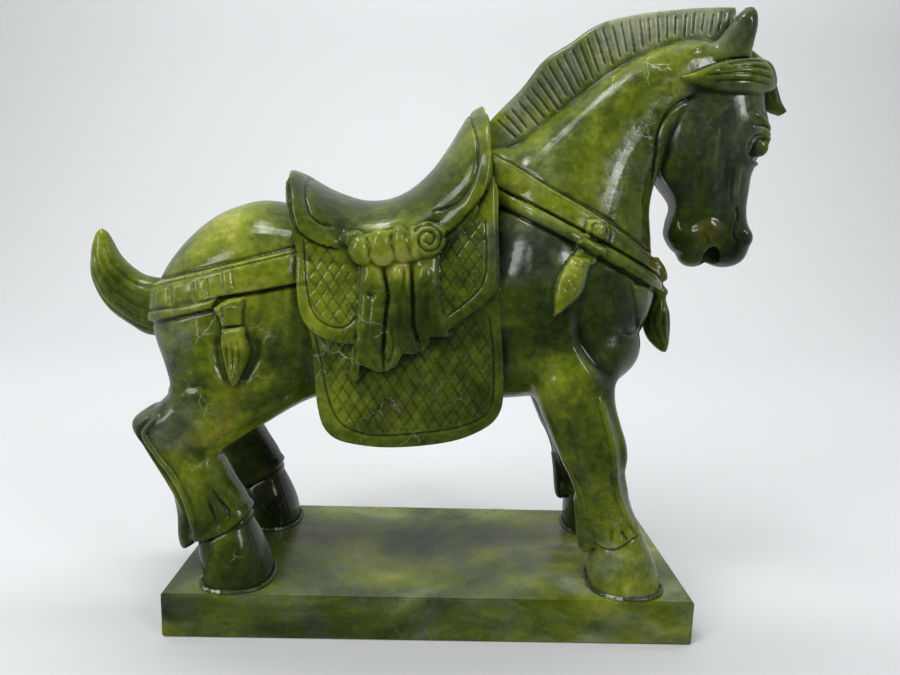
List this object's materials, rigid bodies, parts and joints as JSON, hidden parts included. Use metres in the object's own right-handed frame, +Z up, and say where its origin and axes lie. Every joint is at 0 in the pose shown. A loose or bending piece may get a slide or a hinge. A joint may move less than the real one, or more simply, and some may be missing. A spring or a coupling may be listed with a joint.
{
  "type": "carved stone horse figurine",
  "caption": "Carved green stone horse standing on a rectangular plinth, with saddle, draped cloths, breast strap, tassels, upright mane and raised tail, used as a desk or shelf ornament.",
  "frame": {"origin": "centre of the plinth's underside", "axes": "+Z up out of the plinth, +X towards the horse's head, +Y towards the horse's left side"},
  "size_m": [0.3502, 0.108, 0.3065],
  "materials": {
    "green_jade": "polished",
    "dark_jade": "polished",
    "adhesive": "clear set adhesive"
  },
  "bodies": {
    "root": {"horse": "green_jade", "plinth": "dark_jade", "bead_fore_near": "adhesive", "bead_fore_far": "adhesive", "bead_hind_near": "adhesive", "bead_hind_far": "adhesive"}
  },
  "joints": []
}
